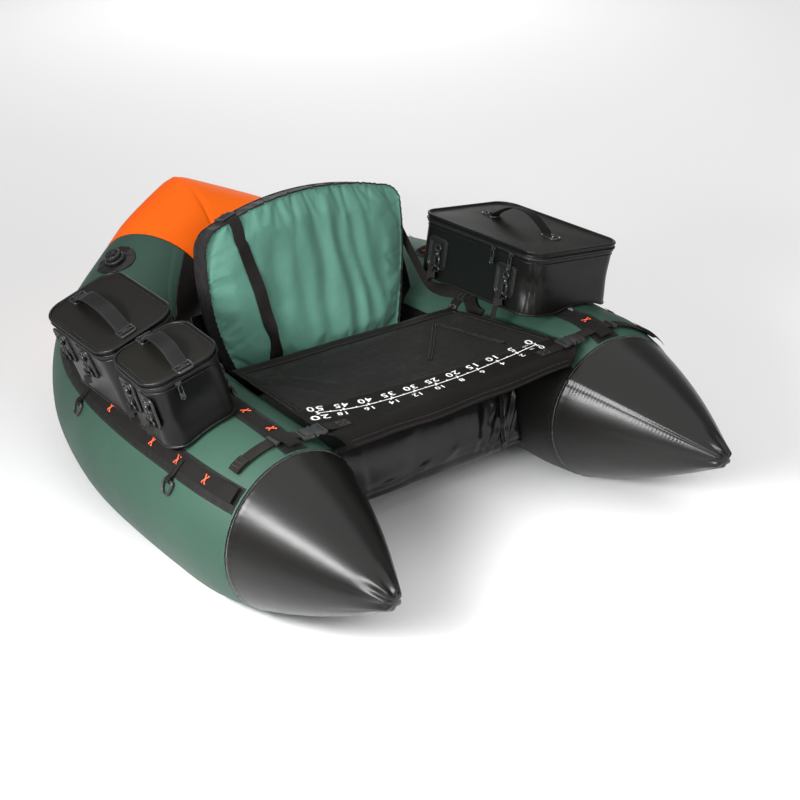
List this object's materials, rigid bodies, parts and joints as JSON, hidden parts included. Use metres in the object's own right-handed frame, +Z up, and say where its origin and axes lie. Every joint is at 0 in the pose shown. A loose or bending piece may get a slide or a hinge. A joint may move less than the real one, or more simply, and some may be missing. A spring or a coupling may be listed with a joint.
{
  "type": "float tube",
  "caption": "Open-front inflatable float tube with a V bow, slung seat, padded backrest, stripping apron with ruler and clip-on moulded tackle bags.",
  "frame": {"origin": "bottom centre of the bounding box, on the ground between the pontoons", "axes": "+Z up, +Y from the cone tips to the bow, +X to the right seen from the open front end"},
  "size_m": [1.1218, 1.3788, 0.5605],
  "materials": {
    "cover_green": "coated woven cover, satin",
    "cover_black": "smooth coated cover, semi-gloss",
    "cover_orange": "coated woven cover, satin",
    "bladder_film": "clear grey film",
    "valve_rubber": "matt moulded",
    "valve_plastic": "matt moulded",
    "webbing": "woven tape",
    "ring_metal": "black coated wire",
    "seat_foam": "covered foam",
    "sling_cloth": "smooth coated cloth",
    "pad_green": "padded woven cloth",
    "border_black": "woven border",
    "board_black": "fabric-faced stiffener",
    "buckle_plastic": "satin moulded",
    "apron_mesh": "open mesh with sewn hems",
    "ruler_black": "printed strip",
    "tub_black": "moulded foam shell, satin",
    "lid_black": "moulded foam shell, satin",
    "handle_rubber": "rubber-faced strap",
    "zip_plastic": "satin moulded"
  },
  "bodies": {
    "hull": {"left_pontoon_cover": "cover_green", "right_pontoon_cover": "cover_green", "left_cone_cover": "cover_black", "right_cone_cover": "cover_black", "bow_cover": "cover_orange", "left_bladder": "bladder_film", "right_bladder": "bladder_film", "left_valve_patch": "valve_rubber", "left_valve_body": "valve_plastic", "right_valve_patch": "valve_rubber", "right_valve_body": "valve_plastic", "left_inner_webbing": "webbing", "left_outer_webbing": "webbing", "right_inner_webbing": "webbing", "right_outer_webbing": "webbing", "seat_cushion": "seat_foam", "seat_sling": "sling_cloth", "right_strap_buckle": "buckle_plastic", "right_backrest_strap": "webbing", "left_apron_plug": "buckle_plastic", "left_apron_socket": "buckle_plastic", "right_apron_socket": "buckle_plastic", "left_apron_strap": "webbing", "right_apron_strap": "webbing", "right_bag_body": "tub_black", "left_front_bag_body": "tub_black", "left_rear_bag_body": "tub_black"},
    "backrest": {"backrest_pad": "pad_green", "backrest_board": "board_black", "backrest_border": "border_black", "left_ladder_buckle": "buckle_plastic", "left_backrest_strap": "webbing"},
    "apron": {"apron_panel": "apron_mesh", "ruler_strip": "ruler_black", "apron_left_tab": "webbing", "apron_right_tab": "webbing", "right_apron_plug": "buckle_plastic"},
    "left_cap": {"left_valve_cap": "valve_plastic"},
    "left_ring_front": {"left_d_ring_front": "ring_metal"},
    "left_ring_rear": {"left_d_ring_rear": "ring_metal"},
    "right_cap": {"right_valve_cap": "valve_plastic"},
    "right_ring_front": {"right_d_ring_front": "ring_metal"},
    "right_ring_rear": {"right_d_ring_rear": "ring_metal"},
    "right_bag_lid_body": {"right_bag_lid": "lid_black", "right_bag_handle": "handle_rubber"},
    "right_bag_slider_body": {"right_bag_zip_slider": "zip_plastic"},
    "right_bag_pull_body": {"right_bag_zip_pull": "zip_plastic"},
    "left_front_bag_lid_body": {"left_front_bag_lid": "lid_black", "left_front_bag_handle": "handle_rubber"},
    "left_front_bag_slider_body": {"left_front_bag_zip_slider": "zip_plastic"},
    "left_front_bag_pull_body": {"left_front_bag_zip_pull": "zip_plastic"},
    "left_rear_bag_lid_body": {"left_rear_bag_lid": "lid_black", "left_rear_bag_handle": "handle_rubber"},
    "left_rear_bag_slider_body": {"left_rear_bag_zip_slider": "zip_plastic"},
    "left_rear_bag_pull_body": {"left_rear_bag_zip_pull": "zip_plastic"}
  },
  "joints": [
    {"name": "backrest_fold", "type": "hinge", "parent": "hull", "child": "backrest", "pos_m": [0.00295, 0.05657, 0.196], "axis": [1, 0, 0], "range_deg": [0, 25]},
    {"name": "apron_lift", "type": "hinge", "parent": "hull", "child": "apron", "pos_m": [-0.28305, -0.21343, 0.3185], "axis": [0, -1, 0], "range_deg": [0, 100]},
    {"name": "left_cap_turn", "type": "hinge", "parent": "hull", "child": "left_cap", "pos_m": [-0.23972, 0.47399, 0.35692], "axis": [-0.3759, 0.0073, 0.9266], "range_deg": [0, 360]},
    {"name": "left_ring_front_swing", "type": "hinge", "parent": "hull", "child": "left_ring_front", "pos_m": [-0.53574, -0.24569, 0.24867], "axis": [-0.0078, 1, 0.0012], "range_deg": [0, 150]},
    {"name": "left_ring_rear_swing", "type": "hinge", "parent": "hull", "child": "left_ring_rear", "pos_m": [-0.51833, 0.11787, 0.24789], "axis": [0.1943, 0.9808, -0.0191], "range_deg": [0, 150]},
    {"name": "right_cap_turn", "type": "hinge", "parent": "hull", "child": "right_cap", "pos_m": [0.24561, 0.47399, 0.35692], "axis": [0.3759, 0.0073, 0.9266], "range_deg": [0, 360]},
    {"name": "right_ring_front_swing", "type": "hinge", "parent": "hull", "child": "right_ring_front", "pos_m": [0.54164, -0.24569, 0.24867], "axis": [-0.0078, -1, -0.0012], "range_deg": [0, 150]},
    {"name": "right_ring_rear_swing", "type": "hinge", "parent": "hull", "child": "right_ring_rear", "pos_m": [0.52422, 0.11787, 0.24789], "axis": [0.1943, -0.9808, 0.0191], "range_deg": [0, 150]},
    {"name": "right_bag_lid_open", "type": "hinge", "parent": "hull", "child": "right_bag_lid_body", "pos_m": [0.527, -0.07385, 0.40882], "axis": [-0.0941, 0.9956, 0], "range_deg": [0, 100]},
    {"name": "right_bag_zip_slide", "type": "slide", "parent": "hull", "child": "right_bag_slider_body", "axis": [-0.0941, 0.9956, 0], "range_m": [0, 0.15]},
    {"name": "right_bag_pull_swing", "type": "hinge", "parent": "right_bag_slider_body", "child": "right_bag_pull_body", "pos_m": [0.27455, -0.14793, 0.44141], "axis": [-0.0941, 0.9956, 0], "range_deg": [0, 90]},
    {"name": "left_front_bag_lid_open", "type": "hinge", "parent": "hull", "child": "left_front_bag_lid_body", "pos_m": [-0.55454, -0.16441, 0.41811], "axis": [-0.0541, -0.9985, 0], "range_deg": [0, 88]},
    {"name": "left_front_bag_zip_slide", "type": "slide", "parent": "hull", "child": "left_front_bag_slider_body", "axis": [0.9645, -0.0522, 0.2588], "range_m": [-0.012, 0.058]},
    {"name": "left_front_bag_pull_swing", "type": "hinge", "parent": "left_front_bag_slider_body", "child": "left_front_bag_pull_body", "pos_m": [-0.50251, -0.24945, 0.42146], "axis": [-0.9645, 0.0522, -0.2588], "range_deg": [0, 90]},
    {"name": "left_rear_bag_lid_open", "type": "hinge", "parent": "hull", "child": "left_rear_bag_lid_body", "pos_m": [-0.55628, 0.03622, 0.4165], "axis": [-0.0122, -0.9999, 0], "range_deg": [0, 100]},
    {"name": "left_rear_bag_zip_slide", "type": "slide", "parent": "hull", "child": "left_rear_bag_slider_body", "axis": [0.0122, 0.9999, 0], "range_m": [-0.008, 0.15]},
    {"name": "left_rear_bag_pull_swing", "type": "hinge", "parent": "left_rear_bag_slider_body", "child": "left_rear_bag_pull_body", "pos_m": [-0.39529, -0.03575, 0.45956], "axis": [-0.0122, -0.9999, 0], "range_deg": [0, 90]}
  ]
}
